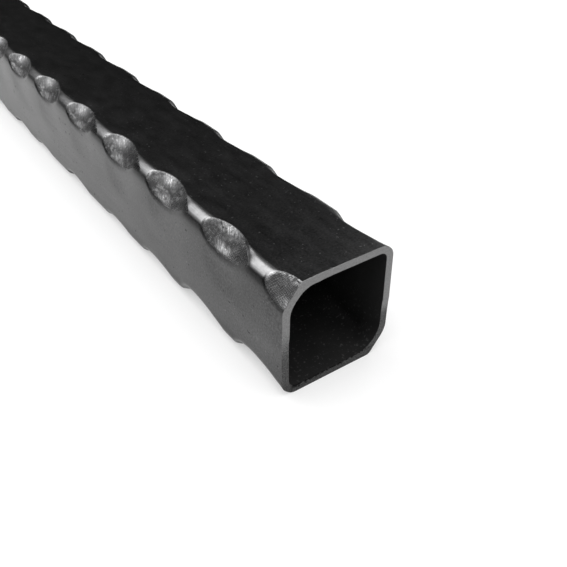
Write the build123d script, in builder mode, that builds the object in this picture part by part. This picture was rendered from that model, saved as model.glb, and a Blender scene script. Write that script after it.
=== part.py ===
from build123d import *
import math
import os

os.makedirs("parts", exist_ok=True)

# Stock sizes of the tube, in millimetres. It lies along Y, flat on the floor, near end at -Y.
tube_length = 500.0
tube_width = 40.0
wall = 2.5
corner_radius = 4.5

# Hammer marks along the corners: a long shallow run on the near side, a short steep one beyond.
# The top right corner was struck less hard than the rest, and its marks are flatter.
mark_pitch = 36.3
near_radius_deep = 55.0
far_radius_deep = 18.0
near_radius_flat = 110.0
far_radius_flat = 22.0

# Where each corner has its first mark, from the near end, and how deep its marks go,
# measured along the diagonal from the sharp corner that the square would have.
first_mark_falling = -0.6  # top left and bottom right corners
first_mark_rising = 17.5  # top right and bottom left corners
depth_top_left = 4.9
depth_top_right = 3.4
depth_bottom_left = 4.5
depth_bottom_right = 4.9

# The punch stands this far off the sharp corner, and reaches this far to each side of it.
punch_lift = 1.0
punch_reach = 12.0

corners = [
    (135.0, depth_top_left, first_mark_falling, near_radius_deep, far_radius_deep),
    (45.0, depth_top_right, first_mark_rising, near_radius_flat, far_radius_flat),
    (-135.0, depth_bottom_left, first_mark_rising, near_radius_deep, far_radius_deep),
    (-45.0, depth_bottom_right, first_mark_falling, near_radius_deep, far_radius_deep),
]
marks_per_corner = int(tube_length / mark_pitch) + 3
section_plane = Plane(
    origin=(0, -tube_length / 2, tube_width / 2), x_dir=(1, 0, 0), z_dir=(0, 1, 0)
)


def run(radius, rise):
    """Length over which an arc of this radius climbs by rise."""
    return math.sqrt(2 * radius * rise - rise**2)


def corner_plane(angle):
    """Plane through a sharp corner at the near end, X along the tube, Y outward."""
    c = math.cos(math.radians(angle))
    s = math.sin(math.radians(angle))
    half_diagonal = tube_width / math.sqrt(2)
    return Plane(
        origin=(c * half_diagonal, -tube_length / 2, tube_width / 2 + s * half_diagonal),
        x_dir=(0, 1, 0),
        z_dir=(s, 0, -c),
    )


def mark_row(corner, offset):
    """The row of marks on one corner, side on, offset inward from the outer skin."""
    angle, depth, first, near_radius, far_radius = corner
    low = depth + offset
    near_run = run(near_radius + offset, low + punch_lift)
    far_run = run(far_radius + offset, low + punch_lift)
    with BuildSketch() as mark:
        with BuildLine():
            RadiusArc((-near_run, punch_lift), (0, -low), near_radius + offset)
            RadiusArc((0, -low), (far_run, punch_lift), far_radius + offset)
            Line((far_run, punch_lift), (-near_run, punch_lift))
        make_face()
    with BuildSketch(corner_plane(angle)) as row:
        with Locations(*[(first + n * mark_pitch, 0) for n in range(-1, marks_per_corner)]):
            add(mark.sketch)
    return row.sketch


with BuildPart() as bore:
    with BuildSketch(section_plane):
        RectangleRounded(tube_width - 2 * wall, tube_width - 2 * wall, corner_radius - wall)
    extrude(amount=tube_length)
    for corner in corners:
        extrude(mark_row(corner, wall), amount=punch_reach, both=True, mode=Mode.SUBTRACT)

with BuildPart() as square_tube:
    with BuildSketch(section_plane):
        RectangleRounded(tube_width, tube_width, corner_radius)
    extrude(amount=tube_length)
    for corner in corners:
        extrude(mark_row(corner, 0.0), amount=punch_reach, both=True, mode=Mode.SUBTRACT)
    add(bore.part, mode=Mode.SUBTRACT)

square_tube.part.label = "square_tube"
export_step(square_tube.part, "parts/square_tube.step")
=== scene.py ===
import math
import bpy
import numpy as np
from mathutils import Euler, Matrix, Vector


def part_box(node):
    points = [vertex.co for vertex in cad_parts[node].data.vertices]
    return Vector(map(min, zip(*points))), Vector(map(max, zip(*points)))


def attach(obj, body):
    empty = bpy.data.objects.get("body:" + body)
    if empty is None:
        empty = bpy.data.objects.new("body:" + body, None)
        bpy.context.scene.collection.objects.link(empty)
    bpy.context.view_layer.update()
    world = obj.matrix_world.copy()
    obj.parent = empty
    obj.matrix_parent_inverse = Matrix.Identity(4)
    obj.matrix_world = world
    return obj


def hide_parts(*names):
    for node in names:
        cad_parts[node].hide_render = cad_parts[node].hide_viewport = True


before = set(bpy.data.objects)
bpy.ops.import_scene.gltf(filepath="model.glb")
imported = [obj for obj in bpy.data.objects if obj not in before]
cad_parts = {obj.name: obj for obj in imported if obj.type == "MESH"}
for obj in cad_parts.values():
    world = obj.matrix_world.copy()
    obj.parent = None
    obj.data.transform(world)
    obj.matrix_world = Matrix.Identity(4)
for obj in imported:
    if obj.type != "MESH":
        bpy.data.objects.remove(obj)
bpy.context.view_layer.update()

mm = 0.001

# The tube, in millimetres: its stock sizes are those of the solid
tube = {
    "width": 40.0,
    "wall": 2.5,
    "cornerRadius": 4.5,
    "pitch": 36.6,
    "rub": 0.6,               # of a mark that isn't given its own
    "jitter": (0.6, 0.15, 0.4, 1.0, 0.4),  # of place, depth, rub, near reach and far reach
    "lipStart": 2.8,          # how far short of the patch's far end the steep lip starts
    "lipCurve": 5.0,          # the longer, the gentler the lip
    "blend": 0.16,            # softness where a mark runs out into the plain corner
    "fullPress": 1.6,         # a mark this much deeper than the plain corner has its own bends
    "bendBore": 8.0,          # bends of the bore beside a mark
    "reachLevel": 3.0,        # how wide the level and the upright faces are drawn in beside a mark
    "reachUpright": 9.0,
    "drawBlur": 5.0,          # length over which that evens out along the tube
    "markMargin": 4.0,        # a place belongs to a mark until this far past its patch
    "leap": 6.0,              # a longer step in place from ring to ring leads to another mark
    "endBevel": 0.12,         # of the sawn rims
    "stepOuter": 1.1,         # mesh spacing along the tube
    "stepInner": 3.3,
    "pointsAcross": (8, 6, 8),  # of each half flat, each bend and each mark
    "crowding": 1.5,          # above 1, the points of a flat crowd towards the corners
    "sharpAngle": 40.0,       # degrees; a steeper edge is shaded sharp
    "seed": 7,
}

# The corners: side signs in x and z; place of the first mark from the near end; depth, near and
# far curve of the marks; how steep a lip ends the far side; reach of the hammered patch to the near
# and far side; bends beside the level and the upright face, and how far a mark draws each in, per
# mm of its depth; lean of a mark, above 0 towards the level face; how bare the crests are.
# Marks seen to differ from the pattern are given by how late they come, how deep they are, how far
# their patch reaches to the near side and how much they are rubbed.
corners = [
    {
        "sides": (1, 1), "first": 17.0, "depth": 3.75, "curves": (80.0, 17.0), "lip": 0.1,
        "reach": (14.0, 7.3), "bends": (1.4, 1.4), "draw": (0.0, 0.0), "lean": -0.13, "bare": 0.1,
        "late": (), "depths": (), "nears": (), "rubs": (),
    },
    {
        "sides": (-1, 1), "first": -0.6, "depth": 5.0, "curves": (43.0, 25.0), "lip": 1.0,
        "reach": (15.5, 9.6), "bends": (1.1, 4.2), "draw": (0.08, 0.15), "lean": -0.08, "bare": 1.0,
        "late": (0, -2.4, -0.8, -0.7, 0, 1.2, 2.0), "depths": (5.0, 4.8),
        "nears": (15.5, 15.2, 19, 21, 21), "rubs": (0.15, 0.45, 0.7, 1, 1, 1, 0.9, 1, 1, 1),
    },
    {
        "sides": (-1, -1), "first": 17.5, "depth": 4.6, "curves": (58.0, 25.0), "lip": 0.3,
        "reach": (14.0, 8.7), "bends": (1.5, 3.1), "draw": (0.0, 0.0), "lean": 0.11, "bare": 0.2,
        "late": (0, -0.3, -5.5, -8, -1, 3.4, -0.7, 0),
        "depths": (4.9, 5.1, 3.8, 3.4, 4.1, 3.3, 3.9, 3.8), "nears": (), "rubs": (),
    },
    {
        "sides": (1, -1), "first": -0.6, "depth": 4.9, "curves": (52.0, 25.0), "lip": 1.0,
        "reach": (15.0, 9.6), "bends": (2.0, 8.0), "draw": (0.0, 0.15), "lean": -0.10, "bare": 0.5,
        "late": (), "depths": (4.95,), "nears": (), "rubs": (),
    },
]

# Share of its radius by which a rolled corner stays back from the sharp one, along the diagonal
setBack = math.sqrt(2) - 1

# What each point of the mesh tells its material: distance from the middle of the mark towards the
# level face, place along the mark, reach of the patch to the near and far side, how rubbed the mark
# is, its depth, distance from the level face, and how bare the corner is
factNames = ["side", "place", "near", "far", "rub", "depth", "drop", "bare"]


def smoothMax(values, softness):
    # The highest of several curves, rounded off where they cross
    stack = np.array(values) / softness
    top = stack.max(axis=0)
    return (top + np.log(np.exp(stack - top).sum(axis=0))) * softness


def smoothStep(low, high, x):
    t = np.clip((x - low) / (high - low), 0, 1)
    return t * t * (3 - 2 * t)


def nth(values, n, otherwise):
    return values[n] if n < len(values) else otherwise


def markRow(corner, along, length, rng):
    # Along the tube: depth of the corner's flat, and the facts of the mark nearest to each place
    nearCurve, farCurve = corner["curves"]
    nowhere, noReach = -99.0, -50.0    # far beyond any patch
    runs = [np.full_like(along, tube["cornerRadius"] * setBack)]
    place = np.full_like(along, nowhere)
    near, far, rub = place * 0, place * 0, place * 0
    for n in range(int(length / tube["pitch"]) + 2):
        jitter = rng.uniform(-1, 1, 5) * tube["jitter"]
        late = nth(corner["late"], n, jitter[0])
        deep = nth(corner["depths"], n, corner["depth"] + jitter[1])
        rubbed = nth(corner["rubs"], n, tube["rub"] + jitter[2])
        reachNear = nth(corner["nears"], n, corner["reach"][0] + jitter[3])
        reachFar = corner["reach"][1] + jitter[4]
        u = along - corner["first"] - n * tube["pitch"] - late
        beyondLip = np.maximum(u - reachFar + tube["lipStart"], 0)
        lip = corner["lip"] * beyondLip ** 2 / tube["lipCurve"]
        runs.append(deep - np.where(u < 0, u ** 2 / (2 * nearCurve), u ** 2 / (2 * farCurve) + lip))
        end = reachFar + tube["markMargin"]
        own = (u > end - tube["pitch"]) & (u <= end)
        place, near, far, rub = (np.where(own, new, old) for new, old in (
            (u, place), (reachNear, near), (reachFar, far), (rubbed, rub)))
    # No patch between two marks, where place jumps from one to the next
    leap = np.abs(np.diff(place, prepend=place[0])) > tube["leap"]
    near, far = (np.where(leap | np.roll(leap, -1), noReach, reach) for reach in (near, far))
    return smoothMax(runs, tube["blend"]), place, near, far, rub


def blurAlong(values, along, width):
    reach = np.exp(-((along[:, None] - along[None, :]) / width) ** 2)
    return (reach * values).sum(axis=1) / reach.sum(axis=1)


def cornerShape(depth, bendA, bendB, lean, counts):
    # Points of one corner from flat to flat, as distances from the sharp corner along its level and
    # its upright face, and as distance from the middle of the mark
    nBend, nChamfer = counts
    legA = depth * math.sqrt(2) * (1 + lean)
    legB = depth * math.sqrt(2) * (1 - lean)
    turnA = np.arctan2(legB, legA)
    turnB = math.pi / 2 - turnA
    face = np.hypot(legA, legB)
    cutA = bendA * np.tan(turnA / 2)
    cutB = bendB * np.tan(turnB / 2)
    # Bends that would run into each other are made smaller
    squeeze = np.minimum(1, face * 0.998 / (cutA + cutB))
    bendA, bendB, cutA, cutB = (v * squeeze for v in (bendA, bendB, cutA, cutB))
    a, b, side = [], [], []
    for k in range(nBend + 1):
        t = turnA * k / nBend
        a.append(legA + cutA - bendA * np.sin(t))
        b.append(bendA * (1 - np.cos(t)))
        side.append(face / 2 - cutA + bendA * (turnA - t))
    startA, startB = a[-1], b[-1]
    endA = bendB * (1 - np.cos(turnB))
    endB = legB + cutB - bendB * np.sin(turnB)
    for k in range(1, nChamfer):
        f = k / nChamfer
        a.append(startA + (endA - startA) * f)
        b.append(startB + (endB - startB) * f)
        side.append(face / 2 - cutA + (cutA + cutB - face) * f)
    for k in range(nBend, -1, -1):
        t = turnB * k / nBend
        a.append(bendB * (1 - np.cos(t)))
        b.append(legB + cutB - bendB * np.sin(t))
        side.append(-face / 2 + cutB - bendB * (turnB - t))
    return np.array(a), np.array(b), np.array(side)


def skin(along, length, inset):
    # The outer skin, or with an inset the bore's wall: rings of points, one ring for each place along
    rng = np.random.default_rng(tube["seed"])
    half = tube["width"] / 2 - inset
    nFlat, nBend, nChamfer = tube["pointsAcross"]
    plain = tube["cornerRadius"] * setBack
    radius = tube["cornerRadius"] - inset
    spots = 1 - (1 - np.arange(nFlat) / nFlat) ** tube["crowding"]
    rings, facts = [], []
    for corner in corners:
        depth, place, near, far, rub = markRow(corner, along, length, rng)
        pressed = smoothStep(0.0, tube["fullPress"], depth - plain)
        bends = corner["bends"] if inset == 0 else (tube["bendBore"], tube["bendBore"])
        bendA, bendB = (radius + (bend - radius) * pressed for bend in bends)
        ownDepth, lean = depth - inset * setBack, corner["lean"] * pressed
        a, b, side = cornerShape(ownDepth, bendA, bendB, lean, (nBend, nChamfer))
        sink = blurAlong(np.maximum(depth - plain, 0), along, tube["drawBlur"])
        fromA, fromB = half - a[0], half - b[-1]
        flush = [0 * a[0]]
        ringA = [half - fromA * f for f in spots] + list(a) + flush * nFlat
        ringB = flush * nFlat + list(b) + [half - fromB * f for f in spots[::-1]]
        beyondA = [fromA * (1 - f) for f in spots] + flush * (len(a) + nFlat)
        beyondB = flush * (len(a) + nFlat) + [fromB * (1 - f) for f in spots[::-1]]
        across = [side[0] + fromA * (1 - f) for f in spots] + list(side) + [
            side[-1] - fromB * (1 - f) for f in spots[::-1]]
        ringA, ringB, beyondA, beyondB, across = (
            np.array(v) for v in (ringA, ringB, beyondA, beyondB, across))
        # The faces are drawn in beside a mark
        fade = np.exp(-(beyondA / tube["reachLevel"]) ** 2 - (beyondB / tube["reachUpright"]) ** 2)
        sx, sz = corner["sides"]
        x = sx * (half - ringA - corner["draw"][1] * sink * fade)
        z = sz * (half - ringB - corner["draw"][0] * sink * fade) + tube["width"] / 2
        own = np.array([np.broadcast_to(v, x.shape) for v in (
            across, place, near, far, rub, depth, ringB, corner["bare"])])
        points = np.stack([x, np.broadcast_to(along, x.shape), z], -1)
        # All corners run the same way round
        turn = slice(None, None, -1) if sx * sz > 0 else slice(None)
        rings.append(points[turn][:-1])
        facts.append(own[:, turn][:, :-1])
    facts = np.concatenate(facts, axis=1).swapaxes(1, 2)
    return np.concatenate(rings).swapaxes(0, 1), dict(zip(factNames, facts))


def gridFaces(first, rows, columns, flip):
    r, c = np.meshgrid(np.arange(rows - 1), np.arange(columns), indexing="ij")
    here = first + r * columns + c
    right = first + r * columns + (c + 1) % columns
    quads = np.stack([here, right, right + columns, here + columns], -1).reshape(-1, 4)
    return quads[:, ::-1] if flip else quads


def buildTube():
    low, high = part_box("square_tube")
    length = (high[1] - low[1]) / mm
    bevel = tube["endBevel"]
    skinSlot, rimSlot, boreSlot = 0, 1, 2
    alongOuter, alongInner = (
        np.linspace(bevel, length - bevel, int(length / tube[step]) + 1)
        for step in ("stepOuter", "stepInner"))
    outer, outerFacts = skin(alongOuter, length, 0.0)
    inner, innerFacts = skin(alongInner, length, tube["wall"])
    columns = outer.shape[1]
    vertices, faces, slots = [], [], []
    facts = {name: [] for name in factNames}
    total = 0

    def add(rows, values):
        nonlocal total
        vertices.append(rows.reshape(-1, 3))
        for name in factNames:
            facts[name].append(np.broadcast_to(values[name], rows.shape[:2]).reshape(-1))
        start = total
        total += rows.shape[0] * rows.shape[1]
        return start

    faces.append(gridFaces(add(outer, outerFacts), outer.shape[0], columns, False))
    slots.append(np.full(len(faces[-1]), skinSlot))
    faces.append(gridFaces(add(inner, innerFacts), inner.shape[0], columns, True))
    slots.append(np.full(len(faces[-1]), boreSlot))
    # Sawn ends: two rings on each end face, joined to both skins by a fine bevel
    for end, row in ((0.0, 0), (length, -1)):
        outside, inside = outer[row], inner[row]
        thick = np.linalg.norm(outside - inside, axis=1)[:, None]
        ringOut = outside + (inside - outside) * bevel / thick
        ringIn = inside + (outside - inside) * bevel / thick
        ringOut[:, 1] = ringIn[:, 1] = end
        rows = np.stack([outside, ringOut, ringIn, inside])
        start = add(rows, {name: outerFacts[name][row] for name in factNames})
        faces.append(gridFaces(start, 4, columns, row == 0))
        slots.append(np.full(len(faces[-1]), rimSlot))
    points = np.concatenate(vertices)
    points[:, 1] += low[1] / mm
    quads = np.concatenate(faces)
    mesh = bpy.data.meshes.new("hammeredTube")
    mesh.vertices.add(len(points))
    mesh.vertices.foreach_set("co", (points * mm).astype(np.float32).ravel())
    mesh.loops.add(quads.size)
    mesh.loops.foreach_set("vertex_index", quads.astype(np.int32).ravel())
    mesh.polygons.add(len(quads))
    mesh.polygons.foreach_set("loop_start", np.arange(0, quads.size, 4, dtype=np.int32))
    mesh.polygons.foreach_set("material_index", np.concatenate(slots).astype(np.int32))
    mesh.polygons.foreach_set("use_smooth", np.ones(len(quads), bool))
    mesh.update(calc_edges=True)
    for name, parts in facts.items():
        layer = mesh.attributes.new(name, "FLOAT", "POINT")
        layer.data.foreach_set("value", np.concatenate(parts).astype(np.float32))
    mesh.validate()
    piece = bpy.data.objects.new("hammeredTube", mesh)
    bpy.context.scene.collection.objects.link(piece)
    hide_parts("square_tube")
    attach(piece, "root")
    return piece


class Field:
    # A shader socket, with the arithmetic of the values that it carries
    def __init__(self, tree, socket=None):
        self.tree = tree
        self.socket = socket

    def node(self, kind, settings=None, inputs=None, output=0):
        made = self.tree.nodes.new(kind)
        for name, value in (settings or {}).items():
            setattr(made, name, value)
        for name, value in (inputs or {}).items():
            if isinstance(value, Field):
                self.tree.links.new(value.socket, made.inputs[name])
            else:
                made.inputs[name].default_value = value
        return Field(self.tree, made.outputs[output])

    def math(self, operation, first, second=0.0):
        return self.node("ShaderNodeMath", {"operation": operation}, {0: first, 1: second})

    def __add__(self, other):
        return self.math("ADD", self, other)

    def __radd__(self, other):
        return self.math("ADD", other, self)

    def __sub__(self, other):
        return self.math("SUBTRACT", self, other)

    def __rsub__(self, other):
        return self.math("SUBTRACT", other, self)

    def __mul__(self, other):
        return self.math("MULTIPLY", self, other)

    def __rmul__(self, other):
        return self.math("MULTIPLY", other, self)

    def __truediv__(self, other):
        return self.math("DIVIDE", self, other)

    def __abs__(self):
        return self.math("ABSOLUTE", self)

    def atLeast(self, other):
        return self.math("MAXIMUM", self, other)

    def atMost(self, other):
        return self.math("MINIMUM", self, other)

    def softMost(self, other, softness):
        # The lower of two, rounded off where they cross
        inputs = {0: self, 1: other, 2: softness}
        return self.node("ShaderNodeMath", {"operation": "SMOOTH_MIN"}, inputs)

    def wave(self, pitch):
        # 0 to 1, once in each pitch
        return self.math("SINE", self * (2 * math.pi / pitch)) * 0.5 + 0.5

    def step(self, low, high):
        # 0 below low, 1 above high, smooth between
        inputs = {"Value": self, "From Min": low, "From Max": high}
        return self.node("ShaderNodeMapRange", {"interpolation_type": "SMOOTHSTEP"}, inputs)

    def hump(self, middle, width):
        # 1 at the middle, falling off to near 0 about one width and a half away
        off = (self - middle) / width
        return self.math("EXPONENT", off * off * -2.0)

    def part(self, index):
        # The x, y or z of a vector
        return self.node("ShaderNodeSeparateXYZ", {}, {0: self}, index)

    def attribute(self, name):
        return self.node("ShaderNodeAttribute", {"attribute_name": name}, {}, "Fac")

    def place(self, stretch=(1, 1, 1), shift=(0, 0, 0)):
        # Position on the object in millimetres, stretched for streaks
        spot = self.node("ShaderNodeTexCoord", {}, {}, "Object")
        inputs = {"Vector": spot, "Scale": tuple(s / mm for s in stretch), "Location": shift}
        return self.node("ShaderNodeMapping", {}, inputs)

    def noise(self, vector, scale, detail=2.0, rough=0.5):
        inputs = {"Vector": vector, "Scale": scale, "Detail": detail, "Roughness": rough}
        return self.node("ShaderNodeTexNoise", {}, inputs)


def newMaterial(name):
    material = bpy.data.materials.new(name)
    material.use_nodes = True
    tree = material.node_tree
    return material, Field(tree), tree.nodes["Principled BSDF"]


def plug(field, shader, name):
    field.tree.links.new(field.socket, shader.inputs[name])


def plugTone(f, shader, value, blue):
    plug(f.node("ShaderNodeCombineColor", {}, {0: value, 1: value, 2: blue}), shader, "Base Color")


def plugBump(f, shader, height, strength, distance):
    inputs = {"Strength": strength, "Distance": distance, "Height": height}
    plug(f.node("ShaderNodeBump", {}, inputs), shader, "Normal")


def grey(value):
    return (value, value, value, 1)


# Tones are shares of the light sent back; the hatch's pitch is in millimetres, relief in metres
steelLook = {
    "scale": 0.054,           # dark mill scale of the flats
    "scaleRoughness": 0.31,
    # Painted shade along the lower side of each corner and below each mark
    "shadeBand": 0.73,             # how dark the soft line below each corner is
    "strip": 0.29,            # bare metal on the crests
    "stripRoughness": 0.30,
    "hatch": 0.088,           # hatched bottom of the marks
    "hatchPitch": 0.55,
    # Rubbed places in the marks, brightened as painted highlights, capped by brightest
    "polishHighlight": 0.66,           # rubbed places in the marks
    "brightest": 0.92,
    "relief": 0.00012,
    "rim": 0.205,
    "rimRelief": 0.0001,
    # Mill scale of the bore, darkened as painted shade
    "bore": 0.013,
}


def scaleAndShadeTone(f, spot, bareness, side, rub, depth, drop):
    # Dark mill scale of the flats with painted shade bands on the upright faces, and the noises in it
    # that the rest of the steel uses too
    streak = f.noise(f.place((1, 0.012, 1)), 1.6, 3)
    cloud = f.noise(f.place((1, 0.4, 1)), 0.09, 4, 0.6)
    grain = f.noise(spot, 1.4, 3, 0.65)
    pit = f.noise(spot, 0.62, 1).step(0.72, 0.77)
    # Smudges and bright specks on the top, soft stains on the upright faces
    top = spot.part(2).step(38.5, 39.6)
    smudge = f.noise(f.place((1, 0.45, 1), (9, 3, 1)), 0.22, 5, 0.62)
    speck = f.noise(f.place(shift=(31, 7, 3)), 0.85, 1).step(0.715, 0.76)
    stain = f.noise(f.place((1, 0.6, 1), (1, 2, 3)), 0.05, 3, 0.6)
    onTop = (smudge - 0.5) * 2.1 + (grain - 0.5) * 1.6
    upright = (grain - 0.5) * 2.2 + (stain - 0.5) * 1.3
    flat = steelLook["scale"] * (0.30 + 0.25 * streak + 0.80 * cloud + 0.35 * grain)
    flat = flat * (1 + top * onTop + (1 - top) * upright)
    # Fine dark speckles come in drifts
    drift = f.noise(f.place((1, 0.6, 1), (2, 8, 4)), 0.16, 2).step(0.50, 0.66)
    speckle = f.noise(f.place(shift=(7, 1, 19)), 1.1, 1).step(0.62, 0.70) * drift
    flat = flat * (1 - 0.6 * pit) * (1 - 0.45 * speckle) + (0.05 + 0.09 * top) * speck
    # Faint pale scratches run where one noise is close to its middle
    scratch = f.noise(f.place((1, 0.35, 1), (8, 8, 1)), 0.07, 2).hump(0.5, 0.006)
    flat = flat + 0.014 * scratch * cloud.step(0.48, 0.60)
    # Painted shade: soft dark bands on the upright face, below each crest and wide and faint below a
    # mark
    shadeBand = steelLook["shadeBand"]
    pressed = (depth - 1.9).step(0.3, 2.0)
    below = side.hump(-2.8, 3.6) * (1 - pressed)
    beside = (5.4 + 1.6 * rub + depth - drop + (cloud - 0.5) * 1.5).step(0.0, 5.0)
    beside = beside * (2.4 - side).step(0.0, 0.6)
    flat = flat * (1 - shadeBand * below) * (1 - 0.40 * shadeBand * beside * pressed * bareness)
    return flat, streak, grain, pit


def steelMaterial():
    look = steelLook
    material, f, shader = newMaterial("millSteel")
    side, place, near, far, rub, depth, drop, bareness = (f.attribute(name) for name in factNames)
    spot = f.place()
    along, height = spot.part(1), spot.part(2)
    flat, streak, grain, pit = scaleAndShadeTone(f, spot, bareness, side, rub, depth, drop)
    # A mark's ragged patch leans with its near end and is cut off sharp at its far end
    ragged = (f.noise(spot, 1.3, 2) - 0.5) * 0.85
    lean = side.atLeast(0.0) * 2.0 + side.atMost(0.0) * 0.8
    inNear = place + near - lean
    inFar = far - place - 0.06 * side * side + 0.8
    inTop = depth * 0.98 + 0.15 - side
    inLow = depth * 0.95 - 0.15 + side
    reached = inNear.softMost(inFar, 1.5)
    patch = (reached.softMost(inTop.softMost(inLow, 0.5), 1.5) + ragged).step(-0.2, 0.3)
    # Bare bright strip on the upper half of each crest, with fine lines along the tube
    fine = f.noise(f.place((1, 0.03, 1), (4, 2, 8)), 2.6, 2)
    mottle = f.noise(f.place((1, 0.5, 1), (6, 6, 6)), 1.0, 3, 0.6)
    strip = (side + 0.5 * (fine - 0.5)).step(-1.5, 0.5) * (3.6 - side + fine - 0.5).step(-0.3, 1.1)
    strip = strip * bareness * (1 - reached.step(1.2, 4.5))
    bare = look["strip"] * (0.42 + 0.5 * fine + 0.75 * mottle)
    value = flat + (bare - flat) * strip
    # Crossing hatch, crisp on the near part of a mark and all over one that is hardly worn
    wander = (f.noise(spot, 0.45, 3) - 0.5) * 2.0
    broken = f.noise(f.place(shift=(2, 12, 6)), 0.9, 3)
    blotch = f.noise(f.place((1, 0.5, 1), (5, 4, 3)), 0.5, 3, 0.6)
    nearPart = 1 - (place + 0.6 * side + (blotch - 0.5) * 6.0).step(-6.5, -3.0)
    worn = rub.step(0.2, 0.45)
    crisp = nearPart.atLeast(1 - worn)
    # The ribs lie wider apart on the near part
    ribAt = place.atLeast(0.0) + 0.55 * place.atMost(0.0)
    ribs = (ribAt + 0.4 * side + wander).wave(look["hatchPitch"])
    rows = (side - 0.25 * along + wander * 0.6).wave(look["hatchPitch"] / 0.85)
    clear = crisp * (0.5 + broken) + (1 - crisp) * broken.step(0.40, 0.70) * (1 - 0.6 * rub)
    hatch = (ribs * rows * 1.1 + 0.35 * ribs) * clear
    # Scrapes run slanting across a mark
    inputs = {0: (along + side) * 0.22, 1: (along - side) * 1.5, 2: height * 0.1}
    scrape = f.noise(f.node("ShaderNodeCombineXYZ", {}, inputs), 1.2, 3)
    # Rubbed places, brightened as painted highlights: glints on the top edge, highlights beside the
    # lower edge and along the far edge, and rubbed blotches
    crownGlint = place.hump(4.5 * rub - 1.5, 7.5) * inTop.hump(0.6 + 1.1 * rub, 1.2 + 2.2 * rub)
    crownGlint = crownGlint * (broken + 0.22 * rub).step(0.42, 0.56) * (0.1 + 1.4 * scrape)
    crownGlint = crownGlint * (0.74 + crisp * (0.6 * ribs - 0.2))
    crownGlint = crownGlint * (1 + 1.1 * scrape.step(0.54, 0.68) * broken.step(0.46, 0.60))
    bellyHighlight = place.hump(-1.0, 5.6) * inLow.step(0.2, 1.1) * (4.1 - inLow).step(0.0, 2.0)
    bellyHighlight = bellyHighlight * (blotch + 0.08).step(0.34, 0.60) * (0.22 + scrape.step(0.32, 0.66))
    bellyHighlight = bellyHighlight * (1.0 - 0.2 * rub) * (1 - 0.6 * crisp * (1 - rows))
    browHighlight = inFar.hump(0.6, 0.8) * blotch.step(0.40, 0.58) * (side + 1.5).step(0.0, 2.0) * 0.6
    # Painted glint along the top border of each mark
    edge = 0.40 * crisp * inTop.hump(0.5, 1.1) * ribs * broken.step(0.35, 0.65)
    spread = 0.5 * rub * blotch.step(0.46, 0.72) * (place + 15).step(0.0, 7.0)
    # Corners that are less bare keep more of their dark scale and get weaker painted highlights
    rubbed = (crownGlint.atLeast(bellyHighlight).atLeast(browHighlight) + edge).atLeast(spread) * bareness
    contrast = 3.5 * rub * (1.4 - rub)
    marked = 0.42 - 0.30 * crisp * worn + 0.3 * broken + 0.4 * scrape + contrast * hatch
    marked = look["hatch"] * marked * (0.4 + 0.6 * bareness)
    # Painted shade: the near part of each mark is darker, the more so the more it is rubbed
    marked = marked * (1 - (0.25 + 0.6 * rub) * (1 - (place + 15).step(0.0, 14.0)))
    marked = marked + (look["polishHighlight"] - look["hatch"]) * rubbed * (0.45 + 0.9 * broken)
    value = value + (marked.atMost(look["brightest"]) - value) * patch
    plugTone(f, shader, value, value * 1.01)
    roughness = look["scaleRoughness"] + 0.10 * (streak - 0.5) + 0.20 * pit
    roughness = roughness + (look["stripRoughness"] - roughness) * strip
    roughness = roughness + (0.47 - 0.14 * rubbed - roughness) * patch
    plug(roughness, shader, "Roughness")
    relief = hatch * (0.2 + 0.4 * worn) + (f.noise(spot, 0.8, 2) - 0.5) * 0.5
    relief = relief * patch + 0.05 * streak - 0.25 * pit + 0.10 * grain
    plugBump(f, shader, relief, 0.6, look["relief"])
    shader.inputs["Metallic"].default_value = 1.0
    return material


def rimMaterial():
    look = steelLook
    material, f, shader = newMaterial("sawnRim")
    spot = f.place()
    across, height = spot.part(0), spot.part(2)
    lines = f.noise(f.place((0.25, 1, 1.0)), 1.9, 2)
    coarse = f.noise(spot, 0.9, 3)
    # Brighter on its upper half, with a sharper change on the right wall, darkest along the bottom
    upper = (height - 18.0 + 0.1 * across + (coarse - 0.5) * 3.0) / (4.6 - 0.1 * across)
    upper = upper.step(-1.0, 1.0)
    low = 0.26 + 0.10 * height.step(2.0, 7.0)
    # Grain shows most on the lower half
    fine = f.noise(f.place((1, 1, 0.8)), 2.2, 2)
    grainy = 1 + (fine - 0.5) * (3.0 - 2.2 * upper)
    value = look["rim"] * (0.82 + 0.36 * lines) * grainy * (low + (1 - low) * upper)
    value = value * (0.9 + 0.2 * coarse)
    # Burr of the saw along the lower inner edge
    burr = (height - 2.0 + (f.noise(spot, 1.1, 2) - 0.5) * 4.6 - 0.035 * across).step(0.25, 0.45)
    burr = burr * (3.2 - height).step(0.0, 0.3) * (17.2 - abs(across)).step(0.0, 1.0)
    value = value * (1 - 0.95 * burr)
    plugTone(f, shader, value, value)
    plug(0.42 + 0.12 * coarse, shader, "Roughness")
    plugBump(f, shader, lines, 0.3, look["rimRelief"])
    shader.inputs["Metallic"].default_value = 1.0
    return material


def boreMaterial():
    material, f, shader = newMaterial("shadedScaleBore")
    spot = f.place()
    cloud = f.noise(spot, 0.2, 3)
    # Dust lies thickest low down
    speck = f.noise(f.place(shift=(3, 17, 5)), 1.1, 2).step(0.60, 0.72)
    speck = speck * (24.0 - spot.part(2)).step(0.0, 18.0)
    # The bore's mill scale is kept far darker than the outer scale, as painted shade inside the tube
    value = steelLook["bore"] * (0.7 + 0.6 * cloud) + 0.035 * speck
    plugTone(f, shader, value, value)
    plug(0.62 + 0.2 * cloud, shader, "Roughness")
    shader.inputs["Metallic"].default_value = 0.0
    shader.inputs["Specular IOR Level"].default_value = 0.15
    return material


def finishTube(piece):
    for material in (steelMaterial(), rimMaterial(), boreMaterial()):
        piece.data.materials.append(material)
    piece.data.set_sharp_from_angle(angle=math.radians(tube["sharpAngle"]))


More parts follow.
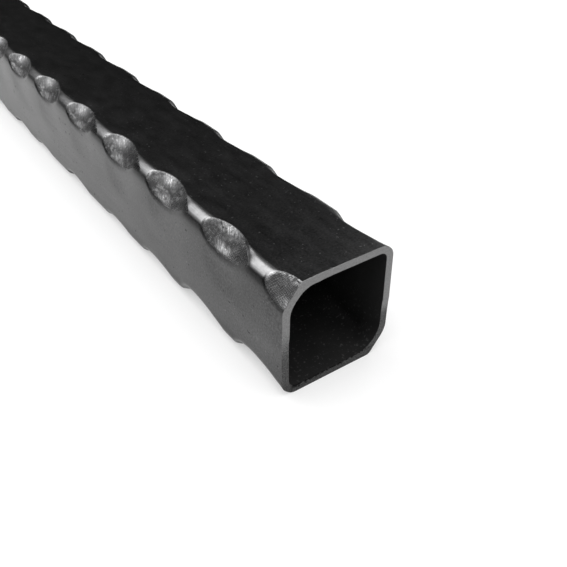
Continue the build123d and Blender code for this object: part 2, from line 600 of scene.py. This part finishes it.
stageLook = {
    "floor": 0.50,
    "glow": 0.44,                   # of the floor itself, so that shadows on it stay faint
    "floorRoughness": 0.7,
    "floorSpecular": 0.1,
    "floorRadius": 1.3,
    "floorCorners": 96,
    "backdrop": (0.0, 0.17),        # how bright the room is low down and above
    "backdropRise": (0.26, 0.62),   # heights of view between which it brightens
    "paleSide": 0.3,                # a pale patch low on the left
    "paleSideward": (0.2, 0.7),
    "paleUpward": (0.02, 0.25),
    "seen": 1.0,                    # the room as the camera sees it
}


def areaLight(name, place, aim, size, radiance, roll=0.0):
    # The panel's power follows from how bright its face is; roll is in degrees
    light = bpy.data.lights.new(name, "AREA")
    light.shape = "RECTANGLE"
    light.size, light.size_y = size
    light.energy = radiance * math.pi * size[0] * size[1]
    lamp = bpy.data.objects.new(name, light)
    lamp.location = place
    lamp.visible_camera = False
    facing = (Vector(aim) - Vector(place)).to_track_quat("-Z", "Y")
    lamp.rotation_euler = (facing @ Euler((0, 0, math.radians(roll))).to_quaternion()).to_euler()
    bpy.context.scene.collection.objects.link(lamp)


def buildStage():
    # A round floor that ends while it is still white
    radius, count = stageLook["floorRadius"], stageLook["floorCorners"]
    turns = [2 * math.pi * n / count for n in range(count)]
    mesh = bpy.data.meshes.new("floor")
    edge = [(radius * math.cos(turn), radius * math.sin(turn), 0) for turn in turns]
    mesh.from_pydata(edge, [], [tuple(range(count))])
    floor = bpy.data.objects.new("floor", mesh)
    bpy.context.scene.collection.objects.link(floor)
    material, _, shader = newMaterial("paleFloor")
    shader.inputs["Base Color"].default_value = grey(stageLook["floor"])
    shader.inputs["Emission Color"].default_value = grey(stageLook["glow"])
    shader.inputs["Emission Strength"].default_value = 1.0
    shader.inputs["Roughness"].default_value = stageLook["floorRoughness"]
    shader.inputs["Specular IOR Level"].default_value = stageLook["floorSpecular"]
    mesh.materials.append(material)

    world = bpy.data.worlds.new("studio")
    bpy.context.scene.world = world
    world.use_nodes = True
    f = Field(world.node_tree)
    direction = f.node("ShaderNodeTexCoord", {}, {}, "Generated")
    height, leftward = direction.part(2), direction.part(0) * -1
    low, high = stageLook["backdrop"]
    room = low + (high - low) * height.step(*stageLook["backdropRise"])
    pale = leftward.step(*stageLook["paleSideward"]) * (1 - height.step(*stageLook["paleUpward"]))
    room = room + stageLook["paleSide"] * pale
    seen = f.node("ShaderNodeLightPath", {}, {}, "Is Camera Ray")
    room = room + (stageLook["seen"] - room) * seen
    plug(room, world.node_tree.nodes["Background"], "Color")

    # A wide panel overhead lights the floor, one at the back left gleams along the corners, and two
    # on the right fill in
    areaLight("overhead", (-0.3, -0.5, 1.9), (0, -0.1, 0), (3.4, 3.2), 2.2)
    areaLight("cornerPanel", (-0.74, 1.13, 1.19), (0, -0.20, 0.04), (2.1, 0.78), 2.3, -36)
    areaLight("sidePanel", (1.42, 0.38, 1.05), (0, -0.25, 0.04), (1.0, 0.9), 2.0)
    areaLight("frontPanel", (1.15, -1.55, 1.10), (0, 0, 0.04), (1.6, 0.8), 1.05)


cameraLook = {
    "place": (-0.102809, -0.371157, 0.150544),
    "turn": (53.5051, 0.4277, -34.9836),    # degrees about x, y and z
    "lens": 44.544,
    "sensor": 36.0,
    "pixels": 567,                          # of the picture's width
    "offCentre": (-0.5, 0.5),               # pixels
}


def buildCamera():
    look = cameraLook
    camera = bpy.data.cameras.new("camera")
    camera.lens = look["lens"]
    camera.sensor_width = look["sensor"]
    camera.clip_start = 0.01
    camera.shift_x, camera.shift_y = (offset / look["pixels"] for offset in look["offCentre"])
    viewer = bpy.data.objects.new("camera", camera)
    viewer.location = look["place"]
    viewer.rotation_euler = Euler([math.radians(v) for v in look["turn"]])
    bpy.context.scene.collection.objects.link(viewer)
    bpy.context.scene.camera = viewer


buildCamera()
print("camera set")
hammeredTube = buildTube()
print("tube mesh", len(hammeredTube.data.polygons) * 2, "triangles")
finishTube(hammeredTube)
print("materials made")
buildStage()
print("stage lit")
bpy.context.scene.view_settings.view_transform = "Standard"

bpy.context.view_layer.update()
